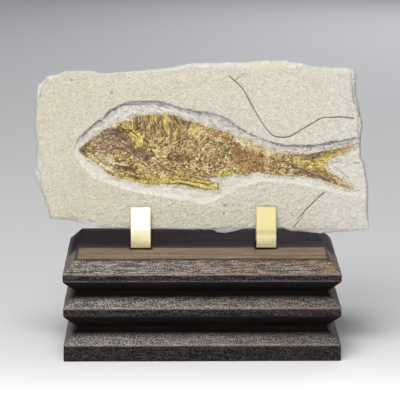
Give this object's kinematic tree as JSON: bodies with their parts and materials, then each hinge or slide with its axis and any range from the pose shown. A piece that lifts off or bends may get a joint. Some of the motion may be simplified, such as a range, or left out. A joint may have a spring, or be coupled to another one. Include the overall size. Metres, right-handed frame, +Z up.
{
  "type": "fossil fish slab on a stand",
  "caption": "Fossil fish in a broken slab of pale stone, leaning in brass holders on a grooved dark wood base; stands on a shelf as a display piece.",
  "frame": {"origin": "middle of the underside of the wooden base", "axes": "+Z up, the fish's side of the slab faces -Y, and +X runs to the right along the slab, towards the fish's tail"},
  "size_m": [0.161, 0.08, 0.1359],
  "materials": {
    "stone": "matte, finely rough, with paler broken edges",
    "bone": "mottled brown and yellow mineralised bone, dull with small glossy flecks",
    "wood": "dark stained, open grain, satin",
    "brass": "satin, brighter on the lips"
  },
  "bodies": {
    "root": {"stone_slab": "stone", "fossil_fish": "bone", "wooden_base": "wood", "brass_holder_left": "brass", "brass_holder_right": "brass"}
  },
  "joints": []
}
